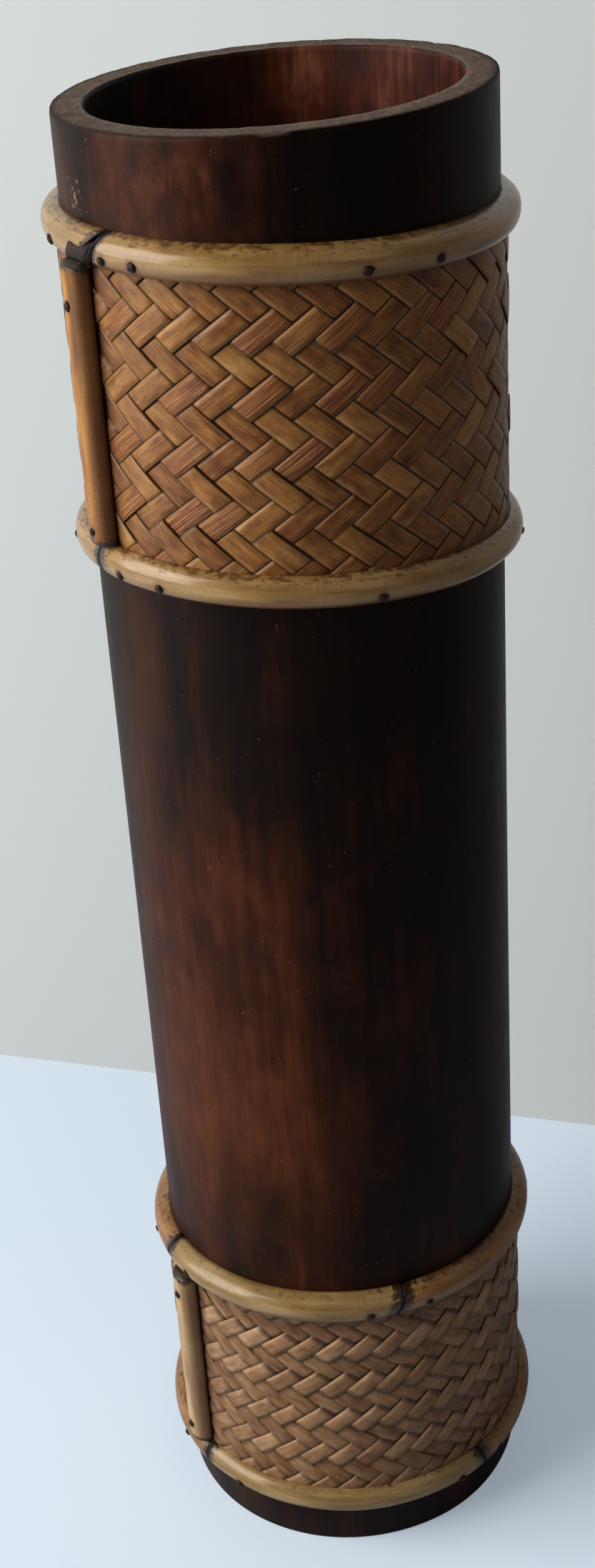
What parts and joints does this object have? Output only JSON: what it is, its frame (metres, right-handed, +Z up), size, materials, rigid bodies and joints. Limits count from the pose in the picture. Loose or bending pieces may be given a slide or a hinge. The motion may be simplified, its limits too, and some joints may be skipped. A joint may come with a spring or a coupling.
{
  "type": "bamboo vase",
  "caption": "Tall cylindrical vase cut from thick bamboo, dressed with an upper and a lower band of woven bamboo strips edged with split cane hoops.",
  "frame": {"origin": "middle of the culm's foot, on the surface that the vase stands on", "axes": "+Z up along the culm; -X towards the seam and batten of both woven bands"},
  "size_m": [0.116, 0.1149, 0.4219],
  "materials": {
    "stained_bamboo": "dark red-brown stain under a thin satin lacquer",
    "woven_bamboo": "flat split strips, lightly oiled, darker in the gaps",
    "split_cane": "natural glossy cane skin with brown stains",
    "dark_glue": "dark brown dried glue, dull",
    "dark_brads": "darkened steel, dull"
  },
  "bodies": {
    "root": {"culm": "stained_bamboo", "upper_woven_mat": "woven_bamboo", "lower_woven_mat": "woven_bamboo", "upper_band_top_hoop": "split_cane", "upper_band_bottom_hoop": "split_cane", "lower_band_top_hoop_front": "split_cane", "lower_band_top_hoop_back": "split_cane", "lower_band_bottom_hoop_front": "split_cane", "lower_band_bottom_hoop_back": "split_cane", "upper_seam_batten": "split_cane", "lower_seam_batten": "split_cane", "hoop_joint_glue": "dark_glue", "upper_band_brads": "dark_brads", "lower_band_brads": "dark_brads"}
  },
  "joints": []
}
